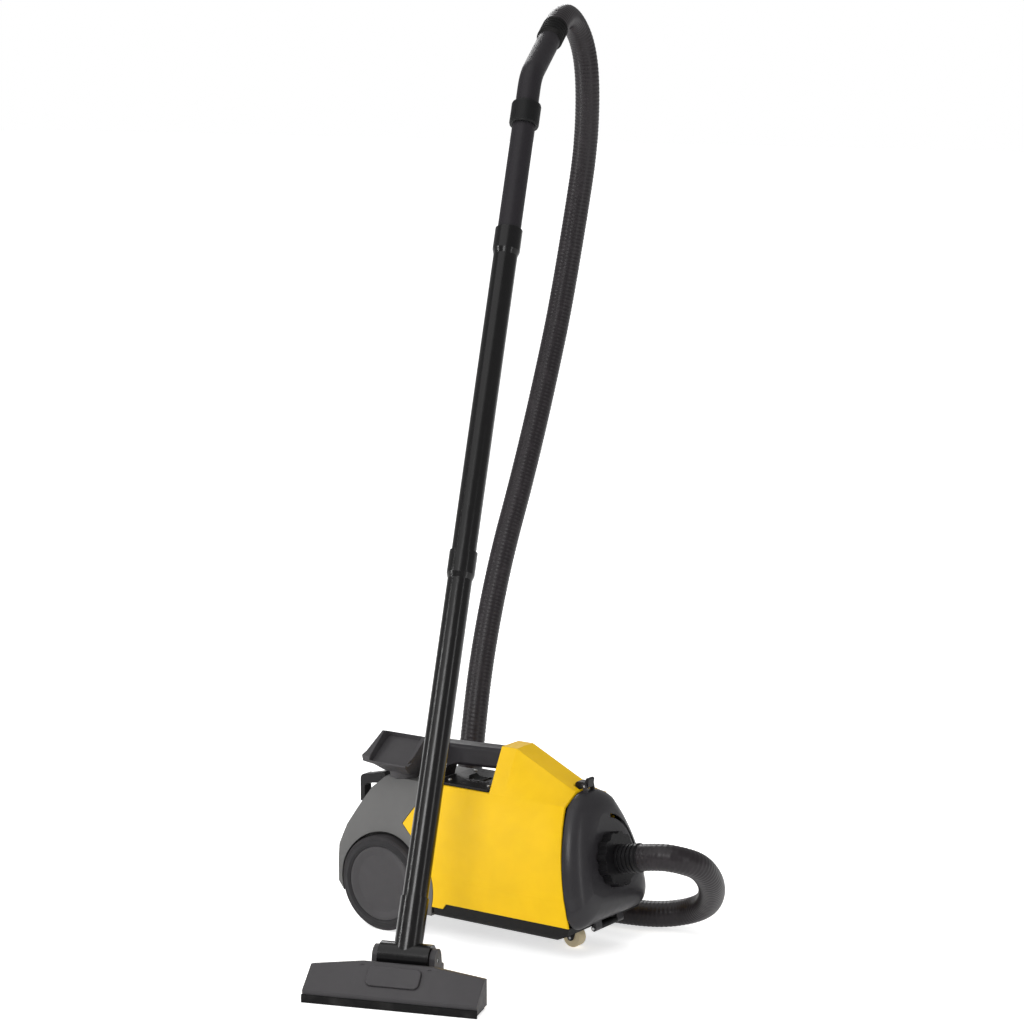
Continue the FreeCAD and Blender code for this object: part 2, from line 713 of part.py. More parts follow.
def make_rear_fittings():
    door = box("rear_end - 2.5", "rear_end + 0", -50, 50, 61, 119)
    louvres = [box("rear_end - 4", "rear_end + 2", -38, 38, 72 + 8 * step, 76 + 8 * step) for step in range(5)]
    door = cut(rounded(door, 4, along((1, 0, 0))), *louvres)
    piece("exhaust_door", door)
    piece("exhaust_filter", box("rear_end + shell_wall", "rear_end + 12", -49, 49, 64.5, 115.5))
    flange = rod(11, ("rear_end - 4", GLAND_Y, GLAND_Z), ("rear_end", GLAND_Y, GLAND_Z))
    sleeve = rod(8.8, ("rear_end", GLAND_Y, GLAND_Z), ("rear_end + 9", GLAND_Y, GLAND_Z))
    cord_hole = rod(4, ("rear_end - 6", GLAND_Y, GLAND_Z), ("rear_end + 12", GLAND_Y, GLAND_Z))
    piece("cord_gland", cut(fuse(flange, sleeve), cord_hole))
    hook = prism("XZ_Plane", [(-190, 211.6), (-197, 205), (-226, 201), (-232, 196), (-232, 172), (-240, 172),
                              (-240, 206), ("via", -237, 212), (-230, 214), (-196, 222)], 16)
    hook.Placement = frame(0, -30, 0)
    piece("cord_hook", hook)


NOZZLE_DROP = 8


def make_nozzle():
    spread = prism("XZ_Plane", [(-22, 238), (22, 238), (40, 268), (42, 296), (-38, 296), (-46, 268), (-50, 262),
                                (-46, 254), (-30, 250)], 90)
    side = prism("YZ_Plane", [(19, 238), (19, 268), (8, 291), (-4, 294), (-40, 262), (-42, 254), (-19, 238)], 120)
    flare = common(spread, side)
    mouth = prism("YZ_Plane", [(2, 300), (-46, 258), (-34, 254), (8, 284)], 70)
    neck = turned([(15.06, 230.3), (22, 230.3), (22, 240), (15.06, 240)])
    throat = rod(15.06, (0, 0, 230), (0, 0, 262))
    nozzle = cut(fuse(flare, neck), mouth, throat)
    nozzle.Placement = frame(NOZZLE_X, NOZZLE_Y, -NOZZLE_DROP)
    piece("upholstery_nozzle", nozzle)


def tube_outline(start, stop, inside, socket):
    """A wand from its spigot's end to its socket's rim, as (radius, height along the wand)."""
    return [
        ("wand_bore_radius - 1", start),
        ("wand_radius - 0.8", start),
        ("wand_radius - 0.8", f"{start} + wand_insert"),
        ("wand_radius", f"{start} + wand_insert + 0.01"),
        ("wand_radius", f"{stop} - {socket} - 8"),
        ("socket_radius", f"{stop} - {socket}"),
        ("socket_radius", stop),
        ("wand_radius - 0.7", stop),
        ("wand_radius - 0.7", f"{stop} - wand_insert - 0.5"),
        ("wand_bore_radius - 1", f"{stop} - wand_insert - 0.5"),
    ]


def make_wands():
    joints = ["neck_top", "neck_top + wand_visible", "neck_top + 2 * wand_visible"]
    for name, foot, top in (("lower_wand", joints[0], joints[1]), ("upper_wand", joints[1], joints[2])):
        outline = tube_outline(f"({foot}) - wand_insert", f"({top})", "wand_bore_radius", 34)
        piece(name, turned(outline, WAND))


def swept(points, radius, bend):
    """A round rod along a bent line."""
    before, corner, after = points
    turn = math.radians(value("handle_angle"))
    back = bend * math.tan(turn / 2)
    first = corner + (before - corner).normalize() * back
    last = corner + (after - corner).normalize() * back
    inward = ((before - corner).normalize() + (after - corner).normalize()).normalize()
    middle = corner + inward * (bend / math.cos(turn / 2) - bend)
    path = Part.Wire([Part.LineSegment(before, first).toShape(), Part.Arc(first, middle, last).toShape(),
                      Part.LineSegment(last, after).toShape()])
    ring = Part.Wire([Part.Circle(before, corner - before, radius).toShape()])
    item = doc.addObject("Part::Feature", "Swept")
    item.Shape = path.makePipeShell([ring], True, False)
    return item


def grip_points(start_extra=0, end_extra=0):
    """The handle's line in the wand's frame: up to the bend, then towards the user's hand."""
    foot = value("neck_top + 2 * wand_visible")
    bend = foot + value("handle_bend")
    angle = math.radians(value("handle_angle"))
    reach = value("grip_length") + end_extra
    return [
        Vector(0, 0, foot - start_extra),
        Vector(0, 0, bend),
        Vector(0, reach * math.sin(angle), bend + reach * math.cos(angle)),
    ]


RING = (1262, 1298)


def make_handle_tube():
    spigot = value("wand_insert")
    outer = swept(grip_points(), 17.5, 60)
    male = rod("wand_radius - 0.8", (0, 0, "neck_top + 2 * wand_visible - wand_insert"),
               (0, 0, "neck_top + 2 * wand_visible + 1"))
    inner = swept(grip_points(spigot + 2, 2), 14, 60)
    vent = box(-6, 6, -25, -5, RING[0] + 8, RING[1] - 8)
    piece("hose_handle", moved(cut(fuse(outer, male), inner, vent), WAND))
    ring = turned([(17.57, RING[0]), (21.5, RING[0]), (22.5, RING[0] + 3), (22.5, RING[1] - 3), (21.5, RING[1]),
                   (17.57, RING[1])])
    window = box(-26, -5, -9, 9, RING[0] + 8, RING[1] - 8)
    piece("suction_ring", moved(cut(ring, window), WAND))
    outline = [(11, -20), (13.8, -20), (13.8, 0.2), (17.5, 0.2), (20, 4)]
    for rib in range(5):
        base = 4 + rib * 8
        outline += [(20.5, base + 1), (20.5, base + 5), (19, base + 6), (19, base + 7.9)]
    outline += [(19, "grip_cuff_length"), (11, "grip_cuff_length")]
    end = grip_points()[2]
    angle = value("handle_angle")
    cuff = turned(outline, frame(end.x, end.y, end.z, (1, 0, 0), -angle))
    piece("grip_cuff", moved(cuff, WAND))


# The pedal's own frame: it lies in the bar's sloping top.
PEDAL = frame(0, -56, 37.6, (1, 0, 0), 44.2)


def make_floor_tool():
    def bar_section(front, back, top, inset=0):
        return [(f"{front} + {inset}", 4), (f"{front} + {inset}", f"17 - {inset}"),
                (f"{back} - {inset} - 10", f"{top} - {inset}"), (f"{back} - {inset}", f"{top} - {inset} - 2"),
                (f"{back} - {inset}", 4)]

    stations = [(-1, 43), (-0.42, 53), (0.42, 53), (1, 43)]
    bar = loft([(upright(f"{share} * tool_half_length"), bar_section("tool_front", "tool_bar_back", top))
                for share, top in stations])
    hollow = loft([(upright(f"{share} * (tool_half_length - 4)"), bar_section("tool_front", "tool_bar_back", top, 3))
                   for share, top in stations])
    # The block is lower behind the barrel, where the neck comes down when the wand lies back.
    block = prism("YZ_Plane", [(-36, 4), (24, 4), (26, 12), (26, 38), (21, 41), (0, 41), (-2, 44), (-36, 44)], 91)
    ears = []
    for sign in (-1, 1):
        ear = prism("YZ_Plane", [(-18, 40), (18, 40), (15, 56), ("via", 0, 66), (-15, 56)], 8)
        ear.Placement = frame(sign * 41.5)
        ears.append(ear)
    trough = rod("barrel_radius + 0.6", (-37.3, 0, "pivot_height"), (37.3, 0, "pivot_height"))
    throat = box(-30, 30, -50, 14, 8, 26)
    pivot_hole = rod(3, (-60, 0, "pivot_height"), (60, 0, "pivot_height"))
    cavity = box("-tool_half_length + 12", "tool_half_length - 12", "tool_front + 8", "tool_bar_back - 6", 2, 12)
    pedal_well = moved(rounded(box(-38.5, 38.5, -15.5, 15.5, -5, 12), 8.5, along((0, 0, 1))), PEDAL)
    hollow = cut(hollow, box(-45, 45, -80, -20, 25, 56))
    tool = cut(fuse(bar, block, *ears), hollow, trough, throat, pivot_hole, cavity, pedal_well)
    piece("tool_body", moved(tool, TOOL))
    sole = box("-tool_half_length + 2", "tool_half_length - 2", "tool_front + 2", "tool_bar_back - 1", 0.5, 4)
    sole = rounded(sole, 5, along((0, 0, 1)))
    slot = box(-96, 96, "tool_front + 12", "tool_front + 26", 0, 5)
    brush_slot = box("-tool_half_length + 10", "tool_half_length - 10", "tool_bar_back - 15", "tool_bar_back - 7",
                     0, 5)
    screw_places = [(x, "tool_front + 6") for x in (-108, -40, 40, 108)]
    recesses = [fuse(rod(3.1, (x, y, 0), (x, y, 2)), rod(1.6, (x, y, 2), (x, y, 5))) for x, y in screw_places]
    piece("tool_sole", moved(cut(sole, slot, brush_slot, *recesses), TOOL))
    bumper = box("-tool_half_length - 1", "tool_half_length + 1", "tool_front - 3", "tool_front", 0, 11)
    bumper = rounded(bumper, 1.2, along((0, 0, 1)))
    piece("tool_bumper", moved(bumper, TOOL))
    strip = box("-tool_half_length + 13", "tool_half_length - 13", "tool_bar_back - 14", "tool_bar_back - 8", 0, 7)
    piece("brush_strip", moved(strip, TOOL))
    pedal = rounded(box(-38, 38, -15, 15, -1, 4), 8, along((0, 0, 1)))
    pedal = moved(rounded(pedal, 1.5, lambda edge: True), PEDAL)
    piece("tool_pedal", moved(pedal, TOOL))
    barrel = rod("barrel_radius", (-36.8, 0, 0), (36.8, 0, 0))
    neck = rod("socket_radius - 0.7", (0, 0, 0), (0, 0, "neck_top"))
    bore_low = rod("wand_bore_radius - 1", (0, 0, 0), (0, 0, "neck_top"))
    socket = rod("wand_radius - 0.7", (0, 0, "neck_top - wand_insert - 0.5"), (0, 0, "neck_top + 1"))
    mouth = box(-16, 16, -14, 14, -30, 0)
    pin_hole = rod(3.06, (-60, 0, 0), (60, 0, 0))
    piece("tool_neck", moved(cut(fuse(barrel, neck), bore_low, socket, mouth, pin_hole), WAND))
    pins = [rod(3, (sign * 30, 0, "pivot_height"), (sign * 45, 0, "pivot_height")) for sign in (-1, 1)]
    piece("tool_pivot_pins", moved(group(*pins), TOOL))
    screws = [fuse(rod(3, (x, y, 0.6), (x, y, 2)), rod(1.5, (x, y, 2), (x, y, 8))) for x, y in screw_places]
    piece("tool_screws", moved(group(*screws), TOOL))


# ---------------------------------------------------------------- hose

CORDS = {
    "hose_lower": [
        (237.8, 0, 151), (266, 0, 157), (292, 14, 153), (304, 48, 138), (299, 88, 106), (278, 126, 72),
        (248, 156, 44), (214, 164, 27), (178, 146, 20.5), (128, 132, 20), (62, 128, 20), (0, 138, 20),
    ],
    "hose_upper": [
        (0, 138, 20), (-60, 147.7, 20), (-120, 162, 22), (-165, 175, 40), (-190, 180, 85), (-203, 186, 150),
        (-206, 205, 238), (-218, 240, 326), (-227, 280, 414), (-234, 325, 503), (-238, 375, 592), (-244, 425, 683),
        (-249, 470, 775), (-253, 512, 869), (-246, 545, 1013), (-233, 557, 1130), (-215, 535, 1231),
        (-217, 525, 1293), (-214.8, 491.2, 1331), (-202.97, 443.76, 1341.43), (-189.99, 405.19, 1319.98),
    ],
}


def pipe(path, start, heading, radius):
    item = doc.addObject("Part::Feature", "Pipe")
    ring = Part.Wire([Part.Circle(start, heading, radius).toShape()])
    item.Shape = path.makePipeShell([ring], True, False)
    return item


def cord(name, points, radius, bore_radius):
    """A hollow hose along straight runs joined by tangent arcs; prints its radii and its length."""
    points = [Vector(*point) for point in points]
    edges = []
    start = points[0]
    radii = []
    for before, corner, after in zip(points, points[1:], points[2:]):
        into = (corner - before).normalize()
        out = (after - corner).normalize()
        turn = into.getAngle(out)
        shorter = min((corner - before).Length, (after - corner).Length)
        bend = 0.45 * shorter / math.tan(turn / 2)
        radii.append(round(bend))
        back = bend * math.tan(turn / 2)
        first, last = corner - into * back, corner + out * back
        inward = (out - into).normalize()
        middle = corner + inward * (bend / math.cos(turn / 2) - bend)
        edges.append(Part.LineSegment(start, first).toShape())
        edges.append(Part.Arc(first, middle, last).toShape())
        start = last
    edges.append(Part.LineSegment(start, points[-1]).toShape())
    path = Part.Wire(edges)
    heading = points[1] - points[0]
    outside = pipe(path, points[0], heading, radius)
    item = cut(outside, pipe(path, points[0], heading, bore_radius))
    expected = math.pi * radius ** 2 * path.Length
    share = outside.Shape.Volume / expected
    print(f"{name}: length {path.Length:.0f}, volume {share:.4f} of section x length, radii {radii}")
    return piece(name, item)


make_body_shell()
make_rear_housing()
make_base_pan()
make_deck()
make_switch()
make_handle()
make_wheel_set()
make_caster()
make_front_cover()
make_inlet()
make_latch()
make_dust_bag()
make_filters()
make_motor()
make_rear_fittings()
make_nozzle()
make_wands()
make_handle_tube()
make_floor_tool()
for cord_name, route in CORDS.items():
    cord(cord_name, route, value("hose_radius"), value("hose_bore_radius"))

# ---------------------------------------------------------------- checks and output

failed = [item for item in doc.Objects if "Invalid" in item.State or "Error" in item.State]
for item in failed:
    owners = [owner.Label for owner in item.InListRecursive]
    print(f"{item.Label} of {owners} failed: {item.State} {item.getStatusString()}")
if failed:
    raise RuntimeError("some objects failed")
datum = frame("datum_x", "datum_y")
for item in PIECES:
    item.Placement = datum.multiply(item.Placement)
doc.recompute()
whole = FreeCAD.BoundBox()
for item in PIECES:
    if item.Shape.isNull() or not item.Shape.isValid():
        raise RuntimeError(f"{item.Label} has no valid shape")
    whole.add(item.Shape.BoundBox)
    item.Shape.exportStep(f"parts/{item.Label}.step")
    print(f"{item.Label}: {len(item.Shape.Solids)} solids, {item.Shape.Volume / 1000:.1f} cm3")
print(whole)
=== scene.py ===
"""Looks of a commercial canister vacuum cleaner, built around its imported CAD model.

Metres, in the CAD's own frame: +X is the canister's front, +Y its left side, +Z up.
"""

import json
import math
import random

import bmesh
import bpy
from mathutils import Matrix, Vector


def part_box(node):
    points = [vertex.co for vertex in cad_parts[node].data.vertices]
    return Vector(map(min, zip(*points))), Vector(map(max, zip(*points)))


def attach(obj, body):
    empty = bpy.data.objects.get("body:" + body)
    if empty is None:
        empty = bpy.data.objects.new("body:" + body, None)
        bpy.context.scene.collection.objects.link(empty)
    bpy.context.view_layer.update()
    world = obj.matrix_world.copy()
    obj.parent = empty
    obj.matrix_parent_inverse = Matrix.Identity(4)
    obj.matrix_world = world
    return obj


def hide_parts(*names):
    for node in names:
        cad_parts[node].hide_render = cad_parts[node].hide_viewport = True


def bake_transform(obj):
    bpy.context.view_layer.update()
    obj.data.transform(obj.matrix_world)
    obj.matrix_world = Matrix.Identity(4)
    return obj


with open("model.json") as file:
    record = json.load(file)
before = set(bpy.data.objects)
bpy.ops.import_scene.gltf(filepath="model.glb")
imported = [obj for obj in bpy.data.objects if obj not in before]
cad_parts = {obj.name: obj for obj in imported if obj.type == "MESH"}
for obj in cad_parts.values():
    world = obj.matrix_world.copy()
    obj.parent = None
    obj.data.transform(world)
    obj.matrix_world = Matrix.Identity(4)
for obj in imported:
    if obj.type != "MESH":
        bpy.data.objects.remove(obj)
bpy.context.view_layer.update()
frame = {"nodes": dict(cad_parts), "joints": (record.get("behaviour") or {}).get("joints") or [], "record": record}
NODES = frame["nodes"]
JOINTS = {joint["name"]: joint for joint in frame["joints"]}

# The canister datum, which the routes and the camera are given from, in the CAD's frame.
DATUM = Vector((0.00014, 0.00557, 0))
UP = Vector((0, 0, 1))


# ---------------------------------------------------------------- materials

class Shader:
    """A node material with a few helpers. Its textures are placed by object coordinates."""

    def __init__(self, name):
        self.material = bpy.data.materials.new(name)
        self.material.use_nodes = True
        self.tree = self.material.node_tree
        self.surface = self.tree.nodes["Principled BSDF"]
        self.place = self.node("ShaderNodeTexCoord").outputs["Object"]

    def node(self, kind, **settings):
        item = self.tree.nodes.new(kind)
        for key, value in settings.items():
            setattr(item, key, value)
        return item

    def feed(self, socket, value):
        if isinstance(value, bpy.types.NodeSocket):
            self.tree.links.new(value, socket)
        else:
            socket.default_value = value

    def noise(self, size, detail=3.0, stretch=None):
        """Noise with features about that many metres across, drawn out along an axis if asked."""
        item = self.node("ShaderNodeTexNoise")
        item.inputs["Scale"].default_value = 1 / size
        item.inputs["Detail"].default_value = detail
        place = self.place
        if stretch:
            mapping = self.node("ShaderNodeMapping")
            self.feed(mapping.inputs["Vector"], place)
            mapping.inputs["Scale"].default_value = stretch
            place = mapping.outputs["Vector"]
        self.feed(item.inputs["Vector"], place)
        return item.outputs["Fac"]

    def cells(self, size):
        item = self.node("ShaderNodeTexVoronoi", feature="SMOOTH_F1")
        item.inputs["Scale"].default_value = 1 / size
        self.feed(item.inputs["Vector"], self.place)
        return item.outputs["Distance"]

    def bands(self, size, direction="Z", distortion=0.0):
        item = self.node("ShaderNodeTexWave", bands_direction=direction)
        item.inputs["Scale"].default_value = 1 / (2 * size)
        item.inputs["Distortion"].default_value = distortion
        self.feed(item.inputs["Vector"], self.place)
        return item.outputs["Fac"]

    def remap(self, value, low, high, to_low=0.0, to_high=1.0):
        item = self.node("ShaderNodeMapRange")
        self.feed(item.inputs["Value"], value)
        limits = {"From Min": low, "From Max": high, "To Min": to_low, "To Max": to_high}
        for socket, number in limits.items():
            item.inputs[socket].default_value = number
        return item.outputs["Result"]

    def math(self, operation, first, second):
        item = self.node("ShaderNodeMath", operation=operation, use_clamp=True)
        self.feed(item.inputs[0], first)
        self.feed(item.inputs[1], second)
        return item.outputs["Value"]

    def mix(self, share, first, second):
        item = self.node("ShaderNodeMix", data_type="RGBA")
        self.feed(item.inputs["Factor"], share)
        self.feed(item.inputs[6], first)
        self.feed(item.inputs[7], second)
        return item.outputs[2]

    def rounded_normal(self, radius):
        item = self.node("ShaderNodeBevel", samples=3)
        item.inputs["Radius"].default_value = radius
        return item.outputs["Normal"]

    def edges(self, radius):
        """Near 1 on the sharp edges, where handling rubs the finish."""
        dot = self.node("ShaderNodeVectorMath", operation="DOT_PRODUCT")
        self.feed(dot.inputs[0], self.rounded_normal(radius))
        self.feed(dot.inputs[1], self.node("ShaderNodeNewGeometry").outputs["Normal"])
        return self.remap(dot.outputs["Value"], 0.97, 0.75)

    def bump(self, heights, edge_radius=0.0):
        """Chains (height, depth in metres) pairs into the surface's normal."""
        normal = self.rounded_normal(edge_radius) if edge_radius else None
        for height, depth in heights:
            item = self.node("ShaderNodeBump")
            item.inputs["Distance"].default_value = depth
            self.feed(item.inputs["Height"], height)
            if normal:
                self.feed(item.inputs["Normal"], normal)
            normal = item.outputs["Normal"]
        self.feed(self.surface.inputs["Normal"], normal)


def shade(colour, factor):
    return tuple(min(1.0, part * factor) for part in colour[:3]) + (1.0,)


def moulded(name, colour, rough, grain=0.00025, grain_depth=0.00004, edge=0.0008, wear=0.25, coat=0.0):
    """Moulded plastic: fine grain, faintly mottled colour, dust haze and rubbed edges."""
    shader = Shader(name)
    flow = shader.noise(0.06, 4.0)
    haze = shader.remap(shader.noise(0.018, 6.0), 0.45, 0.75)
    spark = shader.noise(grain, 2.0)
    rub = shader.math("MULTIPLY", shader.edges(edge), shader.remap(shader.noise(0.006, 5.0), 0.35, 0.6))
    rub = shader.math("MULTIPLY", rub, wear)
    base = shader.mix(flow, shade(colour, 0.9), shade(colour, 1.1))
    base = shader.mix(shader.math("MULTIPLY", haze, 0.12), base, shade(colour, 1.35))
    base = shader.mix(rub, base, shade(colour, 1.9))
    shader.feed(shader.surface.inputs["Base Color"], base)
    patchy = shader.remap(shader.noise(0.011, 5.0), 0.3, 0.7, rough - 0.06, rough + 0.07)
    shader.feed(shader.surface.inputs["Roughness"], patchy)
    shader.surface.inputs["Specular IOR Level"].default_value = 0.22
    shader.surface.inputs["Coat Weight"].default_value = coat
    shader.surface.inputs["Coat Roughness"].default_value = 0.2
    shader.bump([(spark, grain_depth)], edge)
    return shader.material


def soft_rubber(name, colour):
    """Rubber: dull, slightly blotched, with a bloom of dust."""
    shader = Shader(name)
    blotch = shader.noise(0.012, 6.0)
    bloom = shader.remap(shader.noise(0.03, 4.0), 0.5, 0.8)
    base = shader.mix(blotch, shade(colour, 0.8), shade(colour, 1.2))
    base = shader.mix(shader.math("MULTIPLY", bloom, 0.07), base, (0.25, 0.24, 0.23, 1))
    shader.feed(shader.surface.inputs["Base Color"], base)
    shader.feed(shader.surface.inputs["Roughness"], shader.remap(blotch, 0.3, 0.7, 0.67, 0.83))
    shader.surface.inputs["Specular IOR Level"].default_value = 0.2
    shader.bump([(shader.noise(0.0006, 3.0), 0.00008), (blotch, 0.0002)], 0.0006)
    return shader.material


def metal(name, colour, rough, stretch=(1, 1, 1), depth=0.00002):
    """Bare metal, with drawing marks along one direction."""
    shader = Shader(name)
    lines = shader.noise(0.0015, 4.0, stretch)
    stain = shader.remap(shader.noise(0.02, 5.0), 0.4, 0.8)
    base = shader.mix(lines, shade(colour, 0.85), shade(colour, 1.1))
    base = shader.mix(shader.math("MULTIPLY", stain, 0.2), base, shade(colour, 0.5))
    shader.feed(shader.surface.inputs["Base Color"], base)
    shader.feed(shader.surface.inputs["Roughness"], shader.remap(lines, 0.3, 0.7, rough - 0.08, rough + 0.1))
    shader.surface.inputs["Metallic"].default_value = 1.0
    shader.bump([(lines, depth)], 0.0003)
    return shader.material


def fibrous(name, colour, size, depth, rough=0.9, crease=0.0):
    """Paper, card, foam or felt: matted fibres and soft stains."""
    shader = Shader(name)
    fibres = shader.noise(size, 8.0, (1, 1, 2.5))
    stain = shader.noise(0.04, 3.0)
    base = shader.mix(fibres, shade(colour, 0.82), shade(colour, 1.12))
    base = shader.mix(shader.remap(stain, 0.5, 0.8, 0, 0.25), base, shade(colour, 0.6))
    shader.feed(shader.surface.inputs["Base Color"], base)
    shader.surface.inputs["Roughness"].default_value = rough
    heights = [(fibres, depth)]
    if crease:
        heights.append((shader.cells(0.03), crease))
    shader.bump(heights, 0.0005)
    return shader.material


def windings(name, colour):
    """Enamelled wire laid side by side, with painted shade in the grooves between the turns."""
    shader = Shader(name)
    turns = shader.bands(0.0008, "X", 0.4)
    # Dark in the grooves between the turns: painted shade.
    base = shader.mix(turns, shade(colour, 0.35), shade(colour, 1.2))
    shader.feed(shader.surface.inputs["Base Color"], base)
    shader.feed(shader.surface.inputs["Roughness"], shader.remap(shader.noise(0.004), 0.3, 0.7, 0.25, 0.45))
    shader.surface.inputs["Metallic"].default_value = 0.9
    shader.bump([(turns, 0.0002)])
    return shader.material


def hose_vinyl(name, colour):
    """Extruded vinyl over a wire helix: satin, with long streaks of painted sheen in its colour, flow streaks in
    its surface, and scuffs.
    """
    shader = Shader(name)
    flow_streaks_and_sheen = shader.noise(0.004, 4.0, (1, 1, 0.12))
    scuff = shader.remap(shader.noise(0.016, 6.0), 0.52, 0.75)
    # Lighter along the long streaks: a painted sheen down the hose's length.
    base = shader.mix(flow_streaks_and_sheen, shade(colour, 0.28), shade(colour, 0.5))
    base = shader.mix(shader.math("MULTIPLY", scuff, 0.3), base, shade(colour, 1.1))
    shader.feed(shader.surface.inputs["Base Color"], base)
    shader.feed(shader.surface.inputs["Roughness"], shader.remap(scuff, 0, 1, 0.36, 0.5))
    shader.surface.inputs["Specular IOR Level"].default_value = 0.3
    shader.bump([(shader.noise(0.0009, 3.0), 0.00004), (flow_streaks_and_sheen, 0.0001)])
    return shader.material


def slot_colour(slot):
    entry = next(item for item in frame["record"]["materials"] if item["slot"] == slot)
    return entry["base_color"]


def make_materials():
    """One material for each slot of the record, in that slot's colour or a darker shade of it."""
    makers = {
        "shell_yellow": lambda n, c: moulded(n, shade(c, 0.86), 0.42, 0.0005, 0.00001, 0.0014, 0.08),
        "housing_dark": lambda n, c: moulded(n, shade(c, 0.64), 0.5, 0.0004, 0.00006, 0.0012, 0.3),
        "base_black": lambda n, c: moulded(n, shade(c, 0.3), 0.55, 0.0004, 0.00006, 0.001, 0.3),
        "trim_black": lambda n, c: moulded(n, shade(c, 0.6), 0.32, 0.0003, 0.00002, 0.0007, 0.35),
        "cover_grey": lambda n, c: moulded(n, shade(c, 0.38), 0.34, 0.0004, 0.00003, 0.0015, 0.3, 0.12),
        "handle_grey": lambda n, c: moulded(n, shade(c, 0.28), 0.42, 0.0005, 0.00006, 0.001, 0.4),
        "wheel_black": lambda n, c: moulded(n, shade(c, 0.8), 0.55, 0.0004, 0.00008, 0.0012, 0.3),
        "ring_black": lambda n, c: moulded(n, shade(c, 0.35), 0.45, 0.0003, 0.00004, 0.0008, 0.35),
        "wand_black": lambda n, c: moulded(n, shade(c, 0.4), 0.2, 0.0005, 0.00001, 0.0008, 0.3, 0.25),
        "caster_cream": lambda n, c: moulded(n, c, 0.45, 0.0004, 0.00003, 0.0008, 0.0),
        "tyre_rubber": lambda n, c: soft_rubber(n, shade(c, 0.7)),
        "rubber_black": lambda n, c: soft_rubber(n, shade(c, 0.3)),
        "hose_vinyl": hose_vinyl,
        "steel": lambda n, c: metal(n, c, 0.3, (0.1, 1, 1)),
        "zinc_screw": lambda n, c: metal(n, c, 0.35),
        "motor_steel": lambda n, c: metal(n, c, 0.45, (1, 1, 0.2)),
        "fan_aluminium": lambda n, c: metal(n, c, 0.4, (1, 0.2, 0.2)),
        "copper_winding": windings,
        "bag_paper": lambda n, c: fibrous(n, c, 0.0012, 0.0001, 0.85, 0.0012),
        "card": lambda n, c: fibrous(n, c, 0.0006, 0.00008),
        "filter_foam": lambda n, c: fibrous(n, c, 0.0016, 0.0006),
        "bristle": lambda n, c: fibrous(n, c, 0.0008, 0.0001, 0.6),
    }
    return {slot: make(slot, slot_colour(slot)) for slot, make in makers.items()}


MATERIALS = make_materials()


def dress_cad():
    """Gives every CAD node the material of its slot in the record."""
    for part in frame["record"]["subparts"]:
        mesh = NODES[part["node"]].data
        mesh.materials.clear()
        mesh.materials.append(MATERIALS[part["material_slot"]])
    # The rear housing is a paler grey than the tool and the nozzle, which share its slot.
    paler = moulded("housing_pale", (0.125, 0.124, 0.122), 0.5, 0.0004, 0.00006, 0.0012, 0.3)
    NODES["rear_housing"].data.materials[0] = paler


def finish_piece(piece, slot, node, body=None):
    """Dresses a new piece, puts it in place of a CAD node and, if a body is named, sets it on that."""
    piece.data.materials.append(MATERIALS[slot])
    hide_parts(node)
    if body:
        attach(piece, body)


def from_bmesh(name, bm, smooth=True):
    mesh = bpy.data.meshes.new(name)
    bmesh.ops.recalc_face_normals(bm, faces=bm.faces)
    bm.to_mesh(mesh)
    bm.free()
    for polygon in mesh.polygons:
        polygon.use_smooth = smooth
    piece = bpy.data.objects.new(name, mesh)
    bpy.context.scene.collection.objects.link(piece)
    return piece


def join_rings(bm, rings):
    """Faces between each ring of vertices and the next, and a cap on each end."""
    for first, second in zip(rings, rings[1:]):
        for side in range(len(first)):
            after = (side + 1) % len(first)
            bm.faces.new((first[side], first[after], second[after], second[side]))
    bm.faces.new(rings[0])
    bm.faces.new(rings[-1])


# ---------------------------------------------------------------- hose

HOSE_DIAMETER = 0.039
HOSE_SIDES = 36
RIB_PITCH = 0.0062
RIB_STEP = RIB_PITCH / 5
RIB_HEIGHT = 0.00035
# The control points of each length of the hose, from the canister datum.
HOSE_ROUTES = {
    "hose_lower": [
        (0.2378, 0, 0.151), (0.266, 0, 0.157), (0.292, 0.014, 0.153), (0.304, 0.048, 0.138),
        (0.299, 0.088, 0.106), (0.278, 0.126, 0.072), (0.248, 0.156, 0.044), (0.214, 0.164, 0.027),
        (0.178, 0.146, 0.0205), (0.128, 0.132, 0.02), (0.062, 0.128, 0.02), (0, 0.138, 0.02),
    ],
    "hose_upper": [
        (0, 0.138, 0.02), (-0.06, 0.1477, 0.02), (-0.12, 0.162, 0.022), (-0.165, 0.175, 0.04),
        (-0.19, 0.18, 0.085), (-0.203, 0.186, 0.15), (-0.206, 0.205, 0.238), (-0.218, 0.24, 0.326),
        (-0.227, 0.28, 0.414), (-0.234, 0.325, 0.503), (-0.238, 0.375, 0.592), (-0.244, 0.425, 0.683),
        (-0.249, 0.47, 0.775), (-0.253, 0.512, 0.869), (-0.246, 0.545, 1.013), (-0.233, 0.557, 1.13),
        (-0.215, 0.535, 1.231), (-0.217, 0.525, 1.293), (-0.2148, 0.4912, 1.331),
        (-0.203, 0.4438, 1.3414), (-0.19, 0.4052, 1.32),
    ],
}


def spline_points(name, route):
    """The line of a NURBS spline whose control points are the route's."""
    curve = bpy.data.curves.new(name, "CURVE")
    curve.dimensions = "3D"
    spline = curve.splines.new("NURBS")
    spline.points.add(len(route) - 1)
    for point, place in zip(spline.points, route):
        point.co = (*(Vector(place) + DATUM), 1)
    spline.order_u = 3
    spline.use_endpoint_u = True
    spline.resolution_u = 24
    carrier = bpy.data.objects.new(name, curve)
    bpy.context.scene.collection.objects.link(carrier)
    line = bpy.data.meshes.new_from_object(carrier)
    points = [vertex.co.copy() for vertex in line.vertices]
    bpy.data.objects.remove(carrier)
    return points


